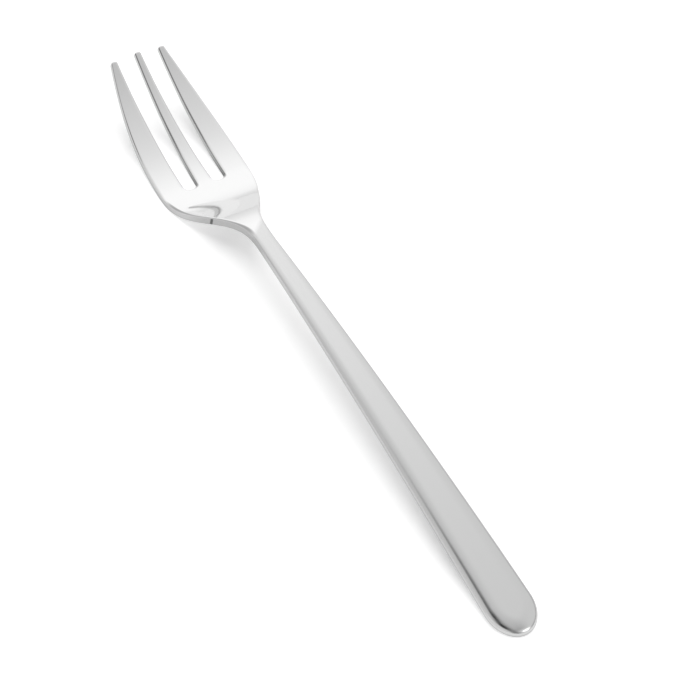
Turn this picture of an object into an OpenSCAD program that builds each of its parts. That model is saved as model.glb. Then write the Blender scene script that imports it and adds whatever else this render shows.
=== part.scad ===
// Serving fork of stainless steel, lying on its back on a table.
// A mirror-polished head with three tines is butt-welded to a slightly crowned satin handle.
// The origin is on the table, under the middle of the fork. +Y runs from the handle to the tine
// tips and +Z is up. Inside this file y is counted from the handle's rounded end.

/* [Handle] */
// Length of the handle, from its rounded end to the weld
handle_l = 171; // [150:1:200]
// Width of the handle at its rounded end
handle_w = 14.9; // [12:0.1:18]
// Length of the rounded end, equal to half the width for a half circle
handle_end_l = 9.5; // [5:0.1:12]
// Thickness of the handle
handle_t = 3.1; // [2.4:0.1:4]
// Rounding of the handle's bottom edges
handle_edge_r = 0.75; // [0.4:0.05:0.9]
// Rounding of the handle's top edges, as a share of half the width
corner_share = 0.25; // [0.1:0.01:0.3]
// Width of the strips along the edges where the top rolls off, as a share of half the width
crown_share = 0.45; // [0.2:0.01:0.5]
// Tilt of the top where a strip meets the rounding of its edge, in degrees
crown_tilt = 17; // [5:1:20]
// Rise of the arched handle, from its end to its crest
handle_rise = 11.3; // [6:0.1:18]

/* [Neck] */
// Width of the neck at the crest, where it is slimmest
neck_w = 5.7; // [4:0.1:9]
// Length of the neck between the crest and the weld
neck_l = 21; // [18:0.5:28]
// Length over which the neck takes on the thickness and the edges of the head
blend_l = 18; // [14:0.5:30]
// Length of the bend that leads from the crest down to the bowl
bend_l = 45; // [36:0.5:52]
// Drop of that bend
bend_drop = 11.5; // [6:0.1:18]
// Length of the shoulders, from the crest to the widest place of the head
shoulder_l = 45.5; // [40:0.5:56]

/* [Head] */
// Length of the head, from the weld to the tine tips
head_l = 69; // [62:1:85]
// Width of the head at its widest place
head_w = 29.5; // [24:0.1:36]
// Thickness of the head
head_t = 2.3; // [1.8:0.1:3.2]
// Rounding of the head's edges
head_edge_r = 0.35; // [0.3:0.05:0.5]
// Width of the strips along the edges where the top rolls off
head_crown_w = 0.8; // [0.4:0.1:1.2]
// Width of those strips at the tips of the tines
tip_crown_w = 0.22; // [0.1:0.01:0.4]

/* [Tines] */
// Length of the slots between the tines
slot_l = 48.5; // [40:0.1:54]
// Width of a slot at its rounded root
slot_w = 4.3; // [4:0.1:6]
// Length of the rounding at a slot's root, equal to half the width for a half circle
slot_end_l = 1.8; // [1:0.1:3]
// Width of the middle tine at its root
middle_root_w = 5.1; // [3:0.1:6]
// Width of every tine at its tip
tip_w = 1.9; // [1.4:0.1:3]
// Length of the rounding at each tip
tip_end_l = 0.6; // [0.5:0.1:1.5]
// Width over the three tips
tips_w = 17.9; // [15:0.1:22]
// Length over which the tines sweep up
sweep_l = 55; // [46:0.5:60]
// Height that the tines gain over that length
sweep_h = 15.8; // [8:0.1:20]
// Height of the middle tip above the outer tips
middle_up = 0.8; // [0:0.1:2]

/* [Hidden] */
polished = "gainsboro";
satin = "silver";

// Largest shares that an edge takes: of a tine's tip, of the thickness, and of the handle end's curve
tip_share = 0.8;
sheet_share = 0.97;
curve_share = 0.9;

// Powers of the handle's arch and of the tines' sweep
arch_power = 1.8;
sweep_power = 2.2;

// Counts of the strips that the curved faces are made of
handle_rows = 56;
end_arc = 9;
root_rows = 10;
slot_arc = 6;
tine_rows = 22;
tip_arc = 6;
crown_steps = 2;
edge_steps = 3;
top_levels = crown_steps + edge_steps + 1;
levels = top_levels + edge_steps + 1;

// Places along the fork
crest_y = handle_l - neck_l;
widest_y = crest_y + shoulder_l;
tip_y = handle_l + head_l;
tip_arc_y = tip_y - tip_end_l;
slot_arc_y = tip_y - slot_l + slot_end_l;
root_y = tip_y - slot_l - 2 * head_crown_w;
sweep_y = tip_y - sweep_l;
slot_x = (middle_root_w + slot_w) / 2;

// Blends and curves
function mix(a, b, share) = a + (b - a) * share;
function ease(t) = let (u = max(0, min(1, t))) u * u * u * (10 + u * (6 * u - 15));
function past(y, start, length) = max(0, y - start) / length;
function bent(y) = ease((y - crest_y) / bend_l);
function blended(y) = ease((y - crest_y) / blend_l);
function tine_share(y) = past(y, slot_arc_y, tip_y - slot_arc_y);

// Side view: the middle of the sheet arches up the handle, drops into the bowl and sweeps up.
// The middle tine ends higher than the others by its value of up.
function arch(y) = 1 - pow(past(crest_y, min(y, crest_y), crest_y - handle_edge_r), arch_power);
function sweep(y) = sweep_h * pow(past(y, sweep_y, sweep_l), sweep_power);
function thickness(y) = mix(handle_t, head_t, blended(y));
function height(y, up) =
    thickness(y) / 2 + handle_rise * arch(y) - bend_drop * bent(y) + sweep(y) + up * pow(tine_share(y), 2);
function slope(y, up) = let (d = 0.01) atan((height(y + d, up) - height(y - d, up)) / (2 * d));

// Plan view: half widths of the handle, the head and the middle tine, and a slot's outer edge
function handle_half(y) = mix(handle_w, neck_w, min(1, y / crest_y)) / 2;
function head_half(y) =
    mix(neck_w, head_w, ease((y - crest_y) / shoulder_l)) / 2
    - (head_w - tips_w) / 2 * pow(past(y, widest_y, tip_y - widest_y), 2);
function half_width(y) = y < crest_y ? handle_half(y) : head_half(y);
function middle_half(y) = mix(middle_root_w, tip_w, tine_share(y)) / 2;
function slot_outer(y) = mix(middle_root_w / 2 + slot_w, tips_w / 2 - tip_w, tine_share(y));

// An outline point is [x, y, inward x, inward y]. Outlines run anticlockwise, seen from above.
function edge(xs, ys, inward) = [for (i = [0:len(ys) - 1]) [xs[i], ys[i], inward, 0]];
function mirrored(points) =
    [for (i = [len(points) - 1:-1:0]) let (p = points[i]) [-p[0], p[1], -p[2], p[3]]];
function reversed(list) = [for (i = [len(list) - 1:-1:0]) list[i]];
function tip(inner, outer, last) =
    [for (i = [1:last]) let (a = 180 * i / tip_arc, c = (inner + outer) / 2)
        [c + (outer - c) * cos(a), tip_arc_y + tip_end_l * sin(a), -cos(a), -sin(a)]];
function slot_end() =
    [for (i = [1:2 * slot_arc - 1]) let (a = -90 * i / slot_arc)
        [slot_x + slot_w / 2 * cos(a), slot_arc_y + slot_end_l * sin(a), cos(a), sin(a)]];

// Rows of the head: from the weld to the root, round the slots' ends, and up the tines
root_ys = [for (i = [0:root_rows]) mix(handle_l, root_y, i / root_rows)];
slot_ys = [for (i = [0:slot_arc]) slot_arc_y - slot_end_l * cos(90 * i / slot_arc)];
tine_ys = [for (i = [0:tine_rows]) mix(slot_arc_y, tip_arc_y, i / tine_rows)];
outer_ys = concat(root_ys, slot_ys, [for (i = [1:tine_rows]) tine_ys[i]]);

// Right half of the head's outline, from the weld to the end of the middle tine
head_right = concat(
    edge([for (y = outer_ys) half_width(y)], outer_ys, -1),
    tip(slot_outer(tip_arc_y), half_width(tip_arc_y), tip_arc - 1),
    edge([for (y = reversed(tine_ys)) slot_outer(y)], reversed(tine_ys), 1),
    slot_end(),
    edge([for (y = tine_ys) middle_half(y)], tine_ys, -1),
    tip(-middle_half(tip_arc_y), middle_half(tip_arc_y), tip_arc / 2 - 1)
);
head_outline = concat(head_right, [[0, tip_y, 0, -1]], mirrored(head_right));

// Index of the first outline point of each stretch of the head's right half
first_slot = root_rows + 1;
first_tine = first_slot + slot_arc;
first_tip = first_tine + tine_rows;
first_inner = first_tip + tip_arc;
first_arc = first_inner + tine_rows;
arc_apex = first_arc + slot_arc;
first_middle = first_arc + 2 * slot_arc;
first_middle_tip = first_middle + tine_rows;

// Cells that fill an outline, as lists of its points
function across(count, i) = [i, i + 1, count - 2 - i, count - 1 - i];
function opposite(count, cell) = [for (i = reversed(cell)) count - 1 - i];
function fan(first, steps) = [for (i = [1:steps - 1]) [first, first + i, first + i + 1]];

head_count = len(head_outline);
head_side_cells = concat(
    [[root_rows, first_slot, arc_apex]],
    [for (i = [0:slot_arc - 1]) [first_slot + i, first_slot + i + 1, arc_apex - i - 1, arc_apex - i]],
    [for (i = [0:tine_rows - 1]) [first_tine + i, first_tine + i + 1, first_arc - i - 1, first_arc - i]],
    fan(first_tip, tip_arc)
);
head_cells = concat(
    [for (i = [0:root_rows - 1]) across(head_count, i)],
    [[root_rows, arc_apex, head_count - 1 - arc_apex, head_count - 1 - root_rows]],
    [for (i = [arc_apex:first_middle_tip - 1]) across(head_count, i)],
    fan(first_middle_tip, tip_arc),
    head_side_cells,
    [for (cell = head_side_cells) opposite(head_count, cell)]
);

// Left half of the handle's outline, from the weld to the rounded end
handle_ys = [for (i = [0:handle_rows]) mix(handle_l, handle_end_l, i / handle_rows)];
end_half = handle_half(handle_end_l);
handle_end = [for (i = [1:end_arc - 1]) let (a = 90 * i / end_arc)
    let (n = [cos(a) / end_half, sin(a) / handle_end_l])
        [-end_half * cos(a), handle_end_l * (1 - sin(a)), n[0] / norm(n), n[1] / norm(n)]];
handle_left = concat(edge([for (y = handle_ys) -half_width(y)], handle_ys, 1), handle_end);
handle_outline = concat(handle_left, [[0, 0, 0, 1]], mirrored(handle_left));
handle_middle = len(handle_left);
handle_cells = concat(
    [for (i = [0:handle_middle - 2]) across(len(handle_outline), i)],
    [[handle_middle - 1, handle_middle, handle_middle + 1]]
);

// Edges: on top, a strip rolls off from the flat face up to a rounded corner; the bottom has only a corner
corner_in = 1 - sin(crown_tilt);
head_r = min(head_edge_r, sheet_share * head_t / 3, tip_share * min(tip_w / 2, tip_end_l));
tip_crown = min(tip_crown_w, tip_share * min(tip_w / 2, tip_end_l) - head_r * corner_in);
end_curve = curve_share * end_half * end_half / handle_end_l;
function edge_half(y) = half_width(max(handle_end_l, min(crest_y, y)));
function handle_crown(y) =
    let (half = edge_half(y)) min(crown_share * half, end_curve - corner_share * half * corner_in);
function crown_w(y) = mix(handle_crown(y), mix(head_crown_w, tip_crown, tine_share(y)), blended(y));
function crown_drop(y) = crown_w(y) * tan(crown_tilt) / 2;
function bottom_r(y) = mix(handle_edge_r, head_r, blended(y));
function top_r(y) =
    min(mix(corner_share * edge_half(y), head_r, blended(y)),
        (sheet_share * thickness(y) - bottom_r(y) - crown_drop(y)) / cos(crown_tilt));

// Each level of a sheet is the outline, drawn in and set off the middle surface: [inset, depth] of a level
function crown_level(y, u) = [top_r(y) * corner_in + crown_w(y) * (1 - u), crown_drop(y) * u * u];
function top_corner(y, a) =
    [top_r(y) * (1 - sin(a)), crown_drop(y) + top_r(y) * (cos(crown_tilt) - cos(a))];
function bottom_corner(y, a) = [bottom_r(y) * (1 - sin(a)), bottom_r(y) * (1 - cos(a))];
function level(y, k) =
    k < crown_steps ? crown_level(y, k / crown_steps)
    : k < top_levels ? top_corner(y, mix(crown_tilt, 90, (k - crown_steps) / edge_steps))
    : bottom_corner(y, 90 * (levels - 1 - k) / edge_steps);
function offset_point(p, k) =
    let (
        inset_depth = level(p[1], k),
        y = p[1] + p[3] * inset_depth[0],
        up = abs(p[0]) < slot_x ? middle_up : 0,
        tilt = slope(y, up),
        off = (k < top_levels ? 1 : -1) * (thickness(y) / 2 - inset_depth[1])
    )
    [p[0] + p[2] * inset_depth[0], y - off * sin(tilt), height(y, up) + off * cos(tilt)];
function sheet_points(outline) = [for (k = [0:levels - 1]) for (p = outline) offset_point(p, k)];

// Faces of a sheet: both sides, the rounded edge, and the flat end at the weld
function triangles(cell) = [for (i = [1:len(cell) - 2]) [cell[0], cell[i], cell[i + 1]]];
function shifted(cell, by) = [for (i = cell) i + by];
function sheet_faces(count, cells) = concat(
    [for (c = cells) for (t = triangles(c)) reversed(t)],
    [for (c = cells) for (t = triangles(c)) shifted(t, (levels - 1) * count)],
    [for (k = [0:levels - 2]) for (i = [0:count - 2])
        for (t = triangles([i, i + 1, count + i + 1, count + i])) shifted(t, k * count)],
    [concat([for (k = [0:levels - 1]) k * count], [for (k = [levels - 1:-1:0]) k * count + count - 1])]
);

// The whole fork stands on z = 0 with the origin under its middle
head_points = sheet_points(head_outline);
handle_points = sheet_points(handle_outline);
all_ys = [for (p = concat(head_points, handle_points)) p[1]];
all_zs = [for (p = concat(head_points, handle_points)) p[2]];
to_origin = [0, -(min(all_ys) + max(all_ys)) / 2, -min(all_zs)];

module head() {
    color(polished)
        translate(to_origin)
            polyhedron(head_points, sheet_faces(head_count, head_cells));
}

module handle() {
    color(satin)
        translate(to_origin)
            polyhedron(handle_points, sheet_faces(len(handle_outline), handle_cells));
}

head();
handle();
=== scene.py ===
"""Serving fork of stainless steel, lying on a white table.

Both pieces are dense meshes from the formulas that the part's source uses, so that mirror reflections
run smoothly. All lengths are in metres. Along the fork, y is counted from the handle's rounded end.
"""

import math

import bmesh
import bpy
import numpy as np
from mathutils import Matrix, Vector


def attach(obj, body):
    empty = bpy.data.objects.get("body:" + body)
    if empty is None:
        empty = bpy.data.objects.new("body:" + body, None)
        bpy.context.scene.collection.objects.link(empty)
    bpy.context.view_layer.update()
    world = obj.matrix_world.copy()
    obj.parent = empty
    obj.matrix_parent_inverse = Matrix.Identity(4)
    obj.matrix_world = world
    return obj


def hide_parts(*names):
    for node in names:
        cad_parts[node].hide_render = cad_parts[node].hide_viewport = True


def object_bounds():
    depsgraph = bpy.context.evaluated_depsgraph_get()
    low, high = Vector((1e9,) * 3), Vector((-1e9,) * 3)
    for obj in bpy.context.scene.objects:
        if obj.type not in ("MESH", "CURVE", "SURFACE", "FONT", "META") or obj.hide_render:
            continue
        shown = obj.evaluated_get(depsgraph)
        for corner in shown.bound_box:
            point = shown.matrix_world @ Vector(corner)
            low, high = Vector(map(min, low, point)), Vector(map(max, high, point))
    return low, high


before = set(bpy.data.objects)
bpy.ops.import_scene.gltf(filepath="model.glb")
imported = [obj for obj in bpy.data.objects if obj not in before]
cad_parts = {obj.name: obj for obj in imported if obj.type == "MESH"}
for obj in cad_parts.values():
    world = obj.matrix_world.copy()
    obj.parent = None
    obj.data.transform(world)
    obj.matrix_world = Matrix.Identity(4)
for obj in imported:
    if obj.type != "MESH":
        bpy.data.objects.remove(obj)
cad_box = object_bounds()

MM = 0.001

# Handle
HANDLE_L = 171 * MM
HANDLE_W = 14.9 * MM
HANDLE_END_L = 9.5 * MM
HANDLE_T = 3.1 * MM
HANDLE_EDGE_R = 0.75 * MM
HANDLE_RISE = 11.3 * MM
ARCH_POWER = 1.8

# Edges of the top: the shares of half the handle's width that its round corner and its roll-off take,
# and the slope at which a roll-off meets its corner
CORNER_SHARE = 0.25
CROWN_SHARE = 0.45
CROWN_TILT = math.radians(17)

# Neck
NECK_W = 5.7 * MM
NECK_L = 21 * MM
BLEND_L = 18 * MM
BEND_L = 45 * MM
BEND_DROP = 11.5 * MM
SHOULDER_L = 45.5 * MM

# Head
HEAD_L = 69 * MM
HEAD_W = 29.5 * MM
HEAD_T = 2.3 * MM
HEAD_EDGE_R = 0.35 * MM
HEAD_CROWN_W = 0.8 * MM
TIP_CROWN_W = 0.22 * MM

# Tines
SLOT_L = 48.5 * MM
SLOT_W = 4.3 * MM
SLOT_END_L = 1.8 * MM
MIDDLE_ROOT_W = 5.1 * MM
TIP_W = 1.9 * MM
TIP_END_L = 0.6 * MM
TIPS_W = 17.9 * MM
SWEEP_L = 55 * MM
SWEEP_H = 15.8 * MM
SWEEP_POWER = 2.2
MIDDLE_UP = 0.8 * MM

# Places along the fork
CREST_Y = HANDLE_L - NECK_L
WIDEST_Y = CREST_Y + SHOULDER_L
TIP_Y = HANDLE_L + HEAD_L
TIP_ARC_Y = TIP_Y - TIP_END_L
SLOT_ARC_Y = TIP_Y - SLOT_L + SLOT_END_L
ROOT_Y = TIP_Y - SLOT_L - 2 * HEAD_CROWN_W
SWEEP_Y = TIP_Y - SWEEP_L

# Places across the fork: the middle of a slot, and how far out both slots with their edges reach
SLOT_X = (MIDDLE_ROOT_W + SLOT_W) / 2
SLOTS_REACH_X = MIDDLE_ROOT_W / 2 + SLOT_W + TIP_W / 2

# Counts of the strips that the meshes are made of
HANDLE_ROWS = 200
HANDLE_COLUMNS = 28
END_ROWS = 12
ROOT_ROWS = 48
BAND_ROWS = 10
TINE_ROWS = 96
TINE_COLUMNS = 12
SLOT_COLUMNS = 20
TIP_ROWS = 3
EDGE_STEPS = 8
CROWN_STEPS = 6

# Half the step over which a slope is measured, and the distance within which points are joined
SLOPE_STEP = 0.01 * MM
JOIN_DISTANCE = 0.001 * MM


# Side view and plan view, as in the part's source, where side is 1 for the top and -1 for the bottom

def mix(a, b, share):
    return a + (b - a) * share


def ease(t):
    u = np.clip(t, 0, 1)
    return u ** 3 * (10 + u * (6 * u - 15))


def past(y, start, length):
    return np.maximum(0, y - start) / length


def blended(y):
    return ease((y - CREST_Y) / BLEND_L)


def thickness(y):
    return mix(HANDLE_T, HEAD_T, blended(y))


def tine_share(y):
    return past(y, SLOT_ARC_Y, TIP_Y - SLOT_ARC_Y)


def edge_half(y):
    """Half width of the handle, which the shape of its edges follows."""
    return half_width(np.clip(y, HANDLE_END_L, CREST_Y))


def crown_w(y):
    """Width of the strip along an edge in which the top rolls off towards it."""
    return mix(CROWN_SHARE * edge_half(y), mix(HEAD_CROWN_W, TIP_CROWN_W, tine_share(y)), blended(y))


def edge_profile(y, side):
    """Insets from the outline and depths below the face, from the face to the side of the sheet.

    The top rolls off softly up to its round corner. The bottom is flat up to its corner."""
    r = mix(CORNER_SHARE * edge_half(y) if side > 0 else HANDLE_EDGE_R, HEAD_EDGE_R, blended(y))
    start = CROWN_TILT if side > 0 else 0
    roll_w = crown_w(y) if side > 0 else 0
    roll_drop = roll_w * math.tan(start) / 2
    corner_w = r * (1 - math.sin(start))
    roll = [(corner_w + roll_w * (1 - u), roll_drop * u ** 2)
            for u in np.linspace(0, 1, CROWN_STEPS, endpoint=False) if side > 0]
    corner = [(r * (1 - math.sin(a)), roll_drop + r * (math.cos(start) - math.cos(a)))
              for a in np.linspace(start, math.pi / 2, EDGE_STEPS + 1)]
    return roll + corner


def edge_reach(y, side):
    """How far an edge reaches in from the outline, on the top or on the bottom."""
    return edge_profile(y, side)[0][0]


def height(y, up):
    """Height of the middle surface of the sheet, raised by up at a tine's tip."""
    arch = 1 - past(CREST_Y, np.minimum(y, CREST_Y), CREST_Y - HANDLE_EDGE_R) ** ARCH_POWER
    bend = ease((y - CREST_Y) / BEND_L)
    sweep = past(y, SWEEP_Y, SWEEP_L) ** SWEEP_POWER
    return (thickness(y) / 2 + HANDLE_RISE * arch - BEND_DROP * bend + SWEEP_H * sweep
            + up * tine_share(y) ** 2)


def tilt(y, up):
    """Angle at which the middle surface rises along the fork."""
    rise = height(y + SLOPE_STEP, up) - height(y - SLOPE_STEP, up)
    return np.arctan(rise / (2 * SLOPE_STEP))


def half_width(y):
    handle = mix(HANDLE_W, NECK_W, np.minimum(1, y / CREST_Y)) / 2
    head = (mix(NECK_W, HEAD_W, ease((y - CREST_Y) / SHOULDER_L)) / 2
            - (HEAD_W - TIPS_W) / 2 * past(y, WIDEST_Y, TIP_Y - WIDEST_Y) ** 2)
    return np.where(y < CREST_Y, handle, head)


def middle_half(y):
    """Half width of the middle tine."""
    return mix(MIDDLE_ROOT_W, TIP_W, tine_share(y)) / 2


def slot_outer(y):
    """Distance from the fork's middle to the inner edge of an outer tine."""
    return mix(MIDDLE_ROOT_W / 2 + SLOT_W, TIPS_W / 2 - TIP_W, tine_share(y))


def place(x, y, off):
    """Points at plan positions x, y, set off the middle surface of the sheet along its normal."""
    up = np.where(np.abs(x) < SLOT_X, MIDDLE_UP, 0)
    t = tilt(y, up)
    return np.stack([x, y - off * np.sin(t), height(y, up) + off * np.cos(t)], axis=-1)


# Building blocks of a sheet with rounded edges

def spread(low, high, count):
    """Places from low to high that crowd towards both ends, along the last axis."""
    share = (1 - np.cos(np.linspace(0, math.pi, count + 1))) / 2
    return np.asarray(low)[..., None] * (1 - share) + np.asarray(high)[..., None] * share


def face(x, y, side):
    """A grid of points on the top of the sheet, or on its bottom."""
    return place(x, y, side * thickness(y) / 2)


def rim(outline, side):
    """Plan positions where the face of the sheet ends and its edge rounding starts."""
    return outline[:, :2] + outline[:, 2:] * edge_reach(outline[:, 1], side)[:, None]


def rounded_edge(outline):
    """A grid of points that runs round the edge of the sheet, along an outline.

    A row of an outline holds x and y of a point, and x and y of the direction that points inward."""
    x, y, inward_x, inward_y = outline.T
    rings = []
    for side in (1, -1):
        for inset, depth in edge_profile(y, side)[::side]:
            ring_y = y + inward_y * inset
            rings.append(place(x + inward_x * inset, ring_y, side * (thickness(ring_y) / 2 - depth)))
    return np.array(rings)


def edge_line(x, y, inward):
    """Rows of an outline along an edge, with the sheet on its right if inward is 1, or left if -1."""
    return np.stack([x, y, np.full_like(y, inward), np.zeros_like(y)], axis=-1)


def mirrored(outline):
    """The same outline on the other side of the fork, in reverse order."""
    return outline[::-1] * np.array([-1, 1, -1, 1])


def handle_grids():
    """The handle's top, bottom and edge, from the weld to its rounded end."""
    rows = np.linspace(HANDLE_L, HANDLE_END_L, HANDLE_ROWS + 1)
    half = half_width(rows)
    angles = np.linspace(0, math.pi, HANDLE_COLUMNS + 1)
    inward = np.stack([np.cos(angles) / half[-1], np.sin(angles) / HANDLE_END_L], axis=-1)
    inward /= np.linalg.norm(inward, axis=1)[:, None]
    arc = np.stack([-half[-1] * np.cos(angles), HANDLE_END_L * (1 - np.sin(angles)),
                    inward[:, 0], inward[:, 1]], axis=-1)
    end_share = np.linspace(0, 1, END_ROWS + 1)[:, None]
    grids = []
    for side in (1, -1):
        inner = half - edge_reach(rows, side)
        x = spread(-inner, inner, HANDLE_COLUMNS)
        end = rim(arc, side)
        grids += [face(x, rows[:, None] + 0 * x, side),
                  face(mix(x[-1], end[:, 0], end_share), mix(HANDLE_END_L, end[:, 1], end_share), side)]
    left = edge_line(-half, rows, 1)
    return grids + [rounded_edge(np.concatenate([left, arc[1:-1], mirrored(left)]))]


def tip_arc(inner, outer):
    """The rounded end of a tine, from its outer edge to its inner edge."""
    angles = np.linspace(0, math.pi, TINE_COLUMNS + 1)
    middle = (inner + outer) / 2
    return np.stack([middle + (outer - middle) * np.cos(angles), TIP_ARC_Y + TIP_END_L * np.sin(angles),
                     -np.cos(angles), -np.sin(angles)], axis=-1)


def slot_arc():
    """The rounded end of the right slot, from the outer tine to the middle tine."""
    angles = np.linspace(0, -math.pi, SLOT_COLUMNS + 1)
    return np.stack([SLOT_X + SLOT_W / 2 * np.cos(angles), SLOT_ARC_Y + SLOT_END_L * np.sin(angles),
                     np.cos(angles), np.sin(angles)], axis=-1)


def tip_arcs():
    """The rounded ends of the right tine and of the middle tine."""
    right = tip_arc(slot_outer(TIP_ARC_Y), half_width(TIP_ARC_Y))
    middle = tip_arc(-middle_half(TIP_ARC_Y), middle_half(TIP_ARC_Y))
    return right, middle


def head_rows():
    """Places along the root, and along the tines with the band between root and slots below them."""
    root = np.linspace(HANDLE_L, ROOT_Y, ROOT_ROWS + 1)
    band = np.linspace(ROOT_Y, SLOT_ARC_Y, BAND_ROWS + 1)
    tine = np.linspace(SLOT_ARC_Y, TIP_ARC_Y, TINE_ROWS + 1)
    return root, np.concatenate([band, tine[1:]])


def head_faces(side):
    """Grids of the head's top or bottom, from strips that meet along shared columns."""
    root, along = head_rows()
    right_tip, middle_tip = tip_arcs()
    tip_share = np.linspace(0, 1, TIP_ROWS + 1)[:, None]
    band_share = np.linspace(0, 1, BAND_ROWS + 1)[:, None]

    # Tines, from the root to the start of their rounded ends
    reach = edge_reach(along, side)
    outer_x = spread(slot_outer(along) + reach, half_width(along) - reach, TINE_COLUMNS)
    middle_x = spread(reach - middle_half(along), middle_half(along) - reach, TINE_COLUMNS)
    grids = [face(x, along[:, None] + 0 * x, side) for x in (-outer_x[:, ::-1], middle_x, outer_x)]

    # Rounded ends of the tines
    start = edge_reach(TIP_ARC_Y, side)
    for tip in (right_tip, middle_tip, mirrored(right_tip)):
        end = rim(tip, side)
        x = mix(tip[:, 0] + tip[:, 2] * start, end[:, 0], tip_share)
        grids.append(face(x, mix(TIP_ARC_Y, end[:, 1], tip_share), side))

    # Strips of the root that end at the rounded ends of the slots
    slot_end = rim(slot_arc(), side)
    for mirror in (1, -1):
        x = mirror * (slot_end[:, 0] + 0 * band_share)
        grids.append(face(x, mix(ROOT_Y, slot_end[:, 1], band_share), side))

    # Root and shoulders, with columns that meet those of the tines and the slots
    slot_x = slot_end[1:-1, 0]
    columns = np.concatenate([-outer_x[0, ::-1], -slot_x, middle_x[0], slot_x[::-1], outer_x[0]])
    inner = half_width(root) - edge_reach(root, side)
    x = columns / inner[-1] * inner[:, None]
    return grids + [face(x, root[:, None] + 0 * x, side)]


def head_edge():
    """The head's edge, from the weld along the right side to the middle tip, and mirrored."""
    root, along = head_rows()
    right_tip, middle_tip = tip_arcs()
    outer = np.concatenate([root, along[1:]])
    tine = along[BAND_ROWS:]
    apex = TINE_COLUMNS // 2
    right = np.concatenate([
        edge_line(half_width(outer), outer, -1),
        right_tip[1:-1],
        edge_line(slot_outer(tine[::-1]), tine[::-1], 1),
        slot_arc()[1:-1],
        edge_line(middle_half(tine), tine, -1),
        middle_tip[1:apex],
    ])
    return rounded_edge(np.concatenate([right, middle_tip[apex:apex + 1], mirrored(right)]))


def head_grids():
    """The head's top, bottom and edge."""
    return head_faces(1) + head_faces(-1) + [head_edge()]


def make_piece(name, grids, shift):
    """A closed, smoothly shaded mesh from grids of points that meet at their borders."""
    bm = bmesh.new()
    for grid in grids:
        rows, columns = grid.shape[:2]
        verts = [[bm.verts.new(Vector(p) + shift) for p in row] for row in grid]
        for i in range(rows - 1):
            for j in range(columns - 1):
                bm.faces.new((verts[i][j], verts[i][j + 1], verts[i + 1][j + 1], verts[i + 1][j]))
    bmesh.ops.remove_doubles(bm, verts=bm.verts, dist=JOIN_DISTANCE)
    bmesh.ops.dissolve_degenerate(bm, edges=bm.edges, dist=JOIN_DISTANCE)
    for polygon in bm.faces:
        polygon.smooth = True
    weld = [edge for edge in bm.edges if edge.is_boundary]
    for polygon in bmesh.ops.edgeloop_fill(bm, edges=weld)["faces"]:
        polygon.smooth = False
    for edge in weld:
        edge.smooth = False
    bmesh.ops.recalc_face_normals(bm, faces=bm.faces)
    mesh = bpy.data.meshes.new(name)
    bm.to_mesh(mesh)
    bm.free()
    piece = bpy.data.objects.new(name, mesh)
    bpy.context.scene.collection.objects.link(piece)
    return piece


# Materials

class Nodes:
    """Short calls for the nodes of one shader tree."""

    def __init__(self, tree):
        self.tree = tree
        tree.nodes.clear()

    def add(self, kind, inputs=None, **settings):
        node = self.tree.nodes.new(kind)
        for key, value in settings.items():
            setattr(node, key, value)
        for key, value in (inputs or {}).items():
            if isinstance(value, bpy.types.NodeSocket):
                self.tree.links.new(value, node.inputs[key])
            else:
                node.inputs[key].default_value = value
        return node

    def math(self, operation, *values):
        return self.add("ShaderNodeMath", dict(enumerate(values)), operation=operation).outputs[0]

    def fade(self, value, start, end, low=0.0, high=1.0):
        """A smooth step from low to high as value goes from start to end."""
        node = self.add("ShaderNodeMapRange", {"Value": value, "From Min": start, "From Max": end,
                                               "To Min": low, "To Max": high},
                        interpolation_type="SMOOTHSTEP")
        return node.outputs["Result"]

    def mix(self, share, a, b):
        node = self.add("ShaderNodeMix", {"Factor": share, "A": a, "B": b}, data_type="FLOAT")
        return node.outputs["Result"]

    def stretched(self, vector, factors):
        node = self.add("ShaderNodeVectorMath", {0: vector, 1: factors}, operation="MULTIPLY")
        return node.outputs["Vector"]

    def noise(self, vector, per_metre, detail):
        node = self.add("ShaderNodeTexNoise", {"Vector": self.stretched(vector, per_metre),
                                               "Scale": 1.0, "Detail": detail})
        return node.outputs["Fac"]


# The two finishes, how much their roughness varies, and the slanted line between them
POLISH_COLOR = 0.8
POLISH_ROUGHNESS = 0.07
POLISH_VARIES = 0.02
SATIN_COLOR = 0.65
SATIN_ROUGHNESS = 0.17
SATIN_VARIES = 0.05
FINISH_Y = 156 * MM
FINISH_SLANT = 1.1
FINISH_BLUR = 1.6 * MM

# Noise in the finishes: features per metre along x, y and z, the range used, and heights of bumps
GRAIN_PER_M = (6000, 120, 6000)
HAZE_PER_M = (350, 350, 350)
WAVE_PER_M = (70, 70, 70)
FINE_DETAIL = 3
NOISE_RANGE = (0.2, 0.8)
GRAIN_H = 0.01 * MM
GRAIN_STRENGTH = 0.12
WAVE_H = 0.004 * MM

# Vertical share of the normal at which a side wall ends, and at which a face begins
WALL_UP = 0.35
FACE_UP = 0.6

# Painted shade on the side walls of the neck, for the table's shadow that they mirror,
# with its middle behind the weld, and the weld's dark seam
NECK_WALL_SHADE = 0.52
NECK_WALL_BACK = 10 * MM
NECK_WALL_L = 22 * MM
NECK_WALL_BLUR = 10 * MM
SEAM_COLOR = 0.15
SEAM_W = 1.2 * MM

# Painted shade on the walls of the slots, dark below and light above, for the shaded table beneath
# that they mirror, and a painted dark reflection on their edges
SLOT_WALL_SHADE = 0.15
SLOT_DARK_Z = 0.8 * MM
SLOT_LIGHT_Z = 2.6 * MM
SLOT_EDGE_SHADE = 0.35
# Sideways share of the normal over which an edge begins, and over which it ends towards the wall
EDGE_BEGINS = (0.3, 0.55)
EDGE_ENDS = (0.99, 0.93)


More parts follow.
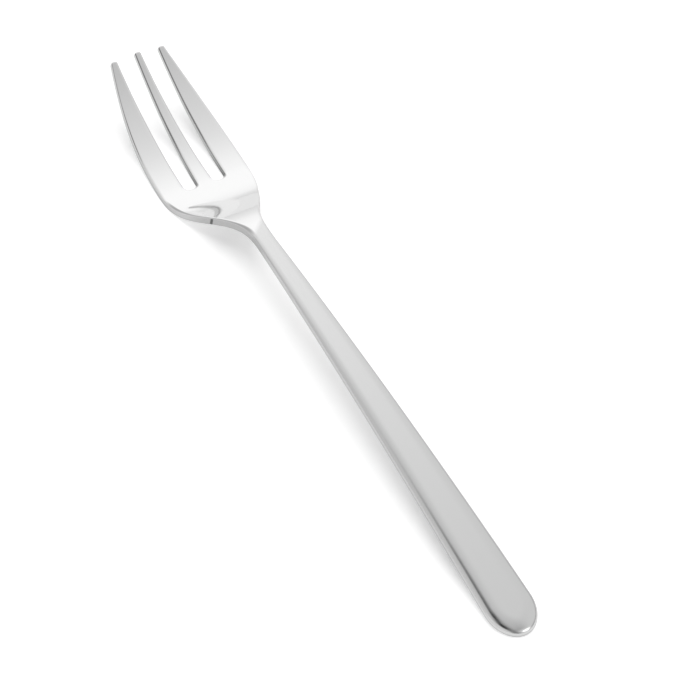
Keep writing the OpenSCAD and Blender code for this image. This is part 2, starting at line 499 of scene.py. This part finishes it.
def add_painted_shade_and_seam(n, color, axes, normal, wall, seam_y):
    """The colour with painted shade laid over it on the neck's walls and the slots' edges and walls,
    and with the weld's dark seam.
    """
    # Where the painted shade lies on the neck's walls
    from_neck = n.math("ABSOLUTE", n.math("SUBTRACT", axes["Y"], seam_y - NECK_WALL_BACK))
    at_neck = n.fade(from_neck, NECK_WALL_L / 2 + NECK_WALL_BLUR, NECK_WALL_L / 2)
    between = n.math("LESS_THAN", n.math("ABSOLUTE", axes["X"]), SLOTS_REACH_X)
    beyond = n.math("GREATER_THAN", axes["Y"], seam_y + ROOT_Y - HANDLE_L)
    at_slot = n.math("MULTIPLY", between, beyond)
    # Where the painted dark reflection lies on the slots' edges, and the painted shade low on their
    # walls
    sideways = n.math("ABSOLUTE", normal["X"])
    edge = n.math("MULTIPLY", n.fade(sideways, *EDGE_BEGINS), n.fade(sideways, *EDGE_ENDS))
    low_wall = n.math("MULTIPLY", n.fade(axes["Z"], SLOT_LIGHT_Z, SLOT_DARK_Z), wall)
    from_seam = n.math("ABSOLUTE", n.math("SUBTRACT", axes["Y"], seam_y))
    at_seam = n.fade(from_seam, SEAM_W / 2, SEAM_W / 4)
    # Painted shade on the neck's walls and the slots' edges and walls, then the weld's dark seam
    for place_share, surface_share, shade_and_seam_color in (
            (at_neck, wall, NECK_WALL_SHADE),
            (at_slot, edge, SLOT_EDGE_SHADE),
            (at_slot, low_wall, SLOT_WALL_SHADE),
            (at_seam, wall, SEAM_COLOR)):
        color = n.mix(n.math("MULTIPLY", place_share, surface_share), color, shade_and_seam_color)
    return color


def steel(name, finish_y, seam_y):
    """Steel with polished faces on the head's side of the finish line, and satin everywhere else.

    The side walls of the neck have painted shade, for the table's shadow that they mirror, with the
    weld as a dark seam across them. The walls of the slots have painted shade that darkens towards the
    table, and their upper edges a painted dark reflection."""
    material = bpy.data.materials.new(name)
    material.use_nodes = True
    n = Nodes(material.node_tree)
    position = n.add("ShaderNodeTexCoord").outputs["Object"]
    axes = n.add("ShaderNodeSeparateXYZ", {"Vector": position}).outputs
    geometry = n.add("ShaderNodeNewGeometry").outputs
    normal = n.add("ShaderNodeSeparateXYZ", {"Vector": geometry["Normal"]}).outputs
    facing = n.fade(n.math("ABSOLUTE", normal["Z"]), WALL_UP, FACE_UP)
    wall = n.math("SUBTRACT", 1, facing)
    line = n.math("SUBTRACT", axes["Y"], n.math("MULTIPLY", axes["X"], FINISH_SLANT))
    beyond_line = n.fade(line, finish_y - FINISH_BLUR, finish_y + FINISH_BLUR)
    polished = n.math("MULTIPLY", beyond_line, facing)
    color = n.mix(polished, SATIN_COLOR, POLISH_COLOR)
    color = add_painted_shade_and_seam(n, color, axes, normal, wall, seam_y)

    grain = n.noise(position, GRAIN_PER_M, FINE_DETAIL)
    haze = n.noise(position, HAZE_PER_M, FINE_DETAIL)
    satin_roughness = n.fade(grain, *NOISE_RANGE, SATIN_ROUGHNESS - SATIN_VARIES,
                             SATIN_ROUGHNESS + SATIN_VARIES)
    polish_roughness = n.fade(haze, *NOISE_RANGE, POLISH_ROUGHNESS - POLISH_VARIES,
                              POLISH_ROUGHNESS + POLISH_VARIES)
    roughness = n.mix(polished, satin_roughness, polish_roughness)

    wave = n.noise(position, WAVE_PER_M, detail=0)
    wavy = n.add("ShaderNodeBump", {"Strength": 1.0, "Distance": WAVE_H, "Height": wave})
    brushing = n.add("ShaderNodeBump", {
        "Strength": n.mix(polished, GRAIN_STRENGTH, 0), "Distance": GRAIN_H,
        "Height": grain, "Normal": wavy.outputs["Normal"]})
    shader = n.add("ShaderNodeBsdfPrincipled", {
        "Base Color": color, "Metallic": 1.0, "Roughness": roughness,
        "Normal": brushing.outputs["Normal"]})
    n.add("ShaderNodeOutputMaterial", {"Surface": shader.outputs["BSDF"]})
    return material


# Stage

FLOOR_SIZE = 6
FLOOR_GAP = 0.02 * MM
FLOOR_COLOR = 0.69
# Glow of the table as the camera sees it, and as the steel mirrors it
SEEN_GLOW = 0.34
MIRRORED_GLOW = 0.08
# Patches that glow more: centre and radii along x and y, and the added glow as seen and as mirrored
GLOW_PATCHES = [
    ((0, -10 * MM), (60 * MM, 45 * MM), 0.3, 0.15),      # at the handle's end
    ((-6 * MM, 194 * MM), (29 * MM, 28 * MM), 0.35, 0),  # under the head
]
# Share of its radii within which a patch adds its full glow
PATCH_FULL = 0.2


def floor_material():
    """A white table that takes a soft shadow, and glows a little for the camera and in the steel.

    It glows more in patches, where the shadow is faint."""
    material = bpy.data.materials.new("table_white")
    material.use_nodes = True
    n = Nodes(material.node_tree)
    path = n.add("ShaderNodeLightPath").outputs
    position = n.add("ShaderNodeTexCoord").outputs["Object"]
    seen_glow = SEEN_GLOW
    mirrored_glow = MIRRORED_GLOW
    for (x, y), (radius_x, radius_y), seen_more, mirrored_more in GLOW_PATCHES:
        center = (x, y + cad_box[0][1], 0)
        offset = n.add("ShaderNodeVectorMath", {0: position, 1: center}, operation="SUBTRACT")
        in_radii = n.stretched(offset.outputs["Vector"], (1 / radius_x, 1 / radius_y, 0))
        distance = n.add("ShaderNodeVectorMath", {0: in_radii}, operation="LENGTH").outputs["Value"]
        share = n.fade(distance, 1, PATCH_FULL)
        seen_glow = n.math("MULTIPLY_ADD", share, seen_more, seen_glow)
        mirrored_glow = n.math("MULTIPLY_ADD", share, mirrored_more, mirrored_glow)
    strength = n.math("ADD", n.math("MULTIPLY", path["Is Camera Ray"], seen_glow),
                      n.math("MULTIPLY", path["Is Glossy Ray"], mirrored_glow))
    diffuse = n.add("ShaderNodeBsdfDiffuse", {"Color": (FLOOR_COLOR, FLOOR_COLOR, FLOOR_COLOR, 1)})
    glow = n.add("ShaderNodeEmission", {"Strength": strength})
    both = n.add("ShaderNodeAddShader", {0: diffuse.outputs[0], 1: glow.outputs[0]})
    n.add("ShaderNodeOutputMaterial", {"Surface": both.outputs[0]})
    return material


def make_floor():
    bpy.ops.mesh.primitive_plane_add(size=FLOOR_SIZE, location=(0, 0, -FLOOR_GAP))
    floor = bpy.context.object
    floor.name = "table"
    floor.data.materials.append(floor_material())


# Radiance of the studio where no zone lies
STUDIO = 0.3
# Soft zones of the studio, each laid over those before it: azimuth from the back towards the right and
# elevation, radiance, and the angles from its centre at which a zone is full and has faded, in degrees
ZONES = [
    (14, 34, 1.2, 5, 65),      # softbox behind
    (-77, 67, 0.77, 2, 50),    # panel above on the left
    (155, 28, 0.9, 5, 45),     # softbox in front
    (-52, 70, 0.02, 4, 13),    # dark gap overhead
    (-94, 51, 0, 2, 40),       # dark ceiling on the left
    (-6, 27, 0.47, 6, 22),     # dim gap behind
    (-60, 30, 0.77, 6, 44),    # panel behind on the left
    (93, 42, 0.87, 2, 49),     # panel on the right
    (155, 22, 2.2, 7, 22),     # lamp in front
    (-105, -6, 0.92, 25, 50),  # wall on the left
    (-78, 8, 1, 11, 17),       # window on the left
    (-32, 24, 0.48, 7, 13),    # dim gap between window and softbox
]
# Soft dim line at the horizon: the share of light left, and the sine of the elevation where it fades
HORIZON_DIM = 0.87
HORIZON_H = 0.12


def studio_direction(azimuth, elevation):
    across = math.radians(azimuth)
    up = math.radians(elevation)
    return Vector((math.sin(across) * math.cos(up), math.cos(across) * math.cos(up), math.sin(up)))


def make_world():
    """A studio of soft zones for the steel to mirror, which the camera sees as plain white."""
    world = bpy.data.worlds.new("studio")
    bpy.context.scene.world = world
    world.use_nodes = True
    n = Nodes(world.node_tree)
    direction = n.add("ShaderNodeTexCoord").outputs["Generated"]
    radiance = STUDIO
    for azimuth, elevation, level, full, faded in ZONES:
        along = n.add("ShaderNodeVectorMath", {0: direction, 1: studio_direction(azimuth, elevation)},
                      operation="DOT_PRODUCT").outputs["Value"]
        share = n.fade(along, math.cos(math.radians(faded)), math.cos(math.radians(full)))
        radiance = n.mix(share, radiance, level)
    up = n.add("ShaderNodeSeparateXYZ", {"Vector": direction}).outputs["Z"]
    horizon = n.fade(n.math("ABSOLUTE", up), 0, HORIZON_H, HORIZON_DIM, 1)
    radiance = n.math("MULTIPLY", radiance, horizon)
    seen = n.add("ShaderNodeLightPath").outputs["Is Camera Ray"]
    strength = n.mix(seen, radiance, 1)
    background = n.add("ShaderNodeBackground", {"Color": (1, 1, 1, 1), "Strength": strength})
    n.add("ShaderNodeOutputWorld", {"Surface": background.outputs[0]})


# The way to the lamp, its distance and size, and its power in watts
LAMP_DIRECTION = Vector((0.07, 0.25, 0.97))
LAMP_DISTANCE = 1.5
LAMP_SIZE = 1.4
LAMP_POWER = 14


def make_lamp():
    """A soft lamp overhead for the shadow on the table, which the metal doesn't mirror."""
    data = bpy.data.lights.new("lamp", "AREA")
    data.shape = "DISK"
    data.size = LAMP_SIZE
    data.energy = LAMP_POWER
    lamp = bpy.data.objects.new("lamp", data)
    lamp.visible_glossy = False
    lamp.location = LAMP_DISTANCE * LAMP_DIRECTION
    lamp.rotation_euler = LAMP_DIRECTION.to_track_quat("Z", "Y").to_euler()
    bpy.context.scene.collection.objects.link(lamp)


# The photograph's camera, with lens and sensor in millimetres
CAMERA_TARGET = Vector((7.2 * MM, -8.55 * MM, 0))
CAMERA_DISTANCE = 0.748
CAMERA_AZIMUTH = math.radians(-27.97)
CAMERA_ELEVATION = math.radians(47.2)
CAMERA_LENS = 133.7
CAMERA_SENSOR_W = 36


def make_camera():
    data = bpy.data.cameras.new("camera")
    data.lens = CAMERA_LENS
    data.sensor_width = CAMERA_SENSOR_W
    data.sensor_fit = "HORIZONTAL"
    camera = bpy.data.objects.new("camera", data)
    bpy.context.scene.collection.objects.link(camera)
    back = Vector((math.sin(CAMERA_AZIMUTH) * math.cos(CAMERA_ELEVATION),
                   -math.cos(CAMERA_AZIMUTH) * math.cos(CAMERA_ELEVATION),
                   math.sin(CAMERA_ELEVATION)))
    right = Vector((math.cos(CAMERA_AZIMUTH), math.sin(CAMERA_AZIMUTH), 0))
    turn = Matrix((right, back.cross(right), back)).transposed().to_4x4()
    camera.matrix_world = Matrix.Translation(CAMERA_TARGET + CAMERA_DISTANCE * back) @ turn
    bpy.context.scene.camera = camera


# The fork

def build_fork():
    """Both pieces, moved so that they lie in the CAD's box."""
    grids = {"handle": handle_grids(), "head": head_grids()}
    points = np.concatenate([grid.reshape(-1, 3) for piece in grids.values() for grid in piece])
    shift = Vector((0, cad_box[0][1] - points[:, 1].min(), cad_box[0][2] - points[:, 2].min()))
    finish_y = FINISH_Y + shift.y
    seam_y = HANDLE_L + shift.y
    for node, slot in (("handle", "satin_steel"), ("head", "polished_steel")):
        piece = make_piece("fork_" + node, grids[node], shift)
        piece.data.materials.append(steel(slot, finish_y, seam_y))
        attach(piece, "root")
        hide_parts(node)


build_fork()
make_floor()
make_world()
make_lamp()
make_camera()
bpy.context.scene.view_settings.view_transform = "Standard"
